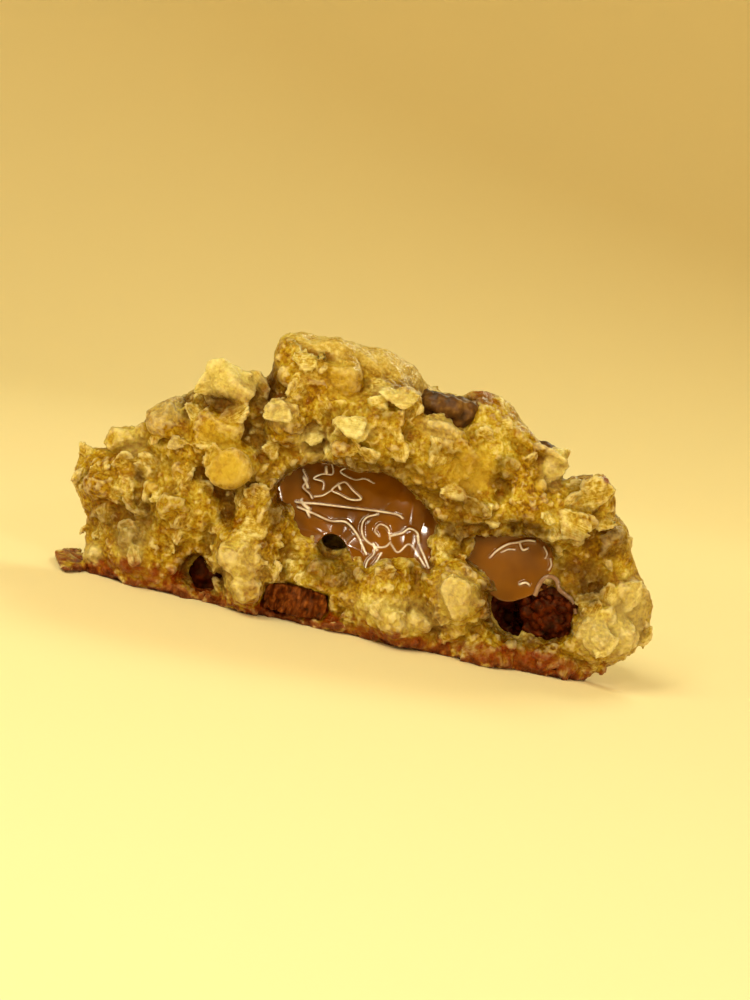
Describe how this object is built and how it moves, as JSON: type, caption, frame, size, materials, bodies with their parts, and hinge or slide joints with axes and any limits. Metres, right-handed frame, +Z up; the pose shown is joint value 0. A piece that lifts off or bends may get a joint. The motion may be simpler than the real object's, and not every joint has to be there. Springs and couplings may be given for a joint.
{
  "type": "oatmeal chocolate chip cookie half",
  "caption": "Thick, domed oatmeal cookie broken in two: flat baked base, lumpy crust and a craggy break with melted chocolate.",
  "frame": {"origin": "middle of the bounding box, on the flat baked base that the half stands on", "axes": "+X along the broken face, +Y from the broken face to the rounded back, +Z up from the base to the crown"},
  "size_m": [0.082, 0.0428, 0.0393],
  "materials": {
    "crumb": "dry, craggy golden crumb with a toasted base",
    "melted_chocolate": "glossy, wet, melted milk chocolate",
    "dark_chocolate": "dark, reddish brown, satin",
    "chocolate_chip": "dull, baked chocolate"
  },
  "bodies": {
    "root": {"crumb": "crumb", "chocolate_pool": "melted_chocolate", "chocolate_right_pool": "melted_chocolate", "chocolate_lining": "dark_chocolate", "chocolate_chunk": "dark_chocolate", "chocolate_left_chip": "dark_chocolate", "chocolate_crown_chip": "chocolate_chip", "chocolate_crust_chip_1": "chocolate_chip", "chocolate_crust_chip_2": "chocolate_chip", "chocolate_crust_chip_3": "chocolate_chip"}
  },
  "joints": []
}
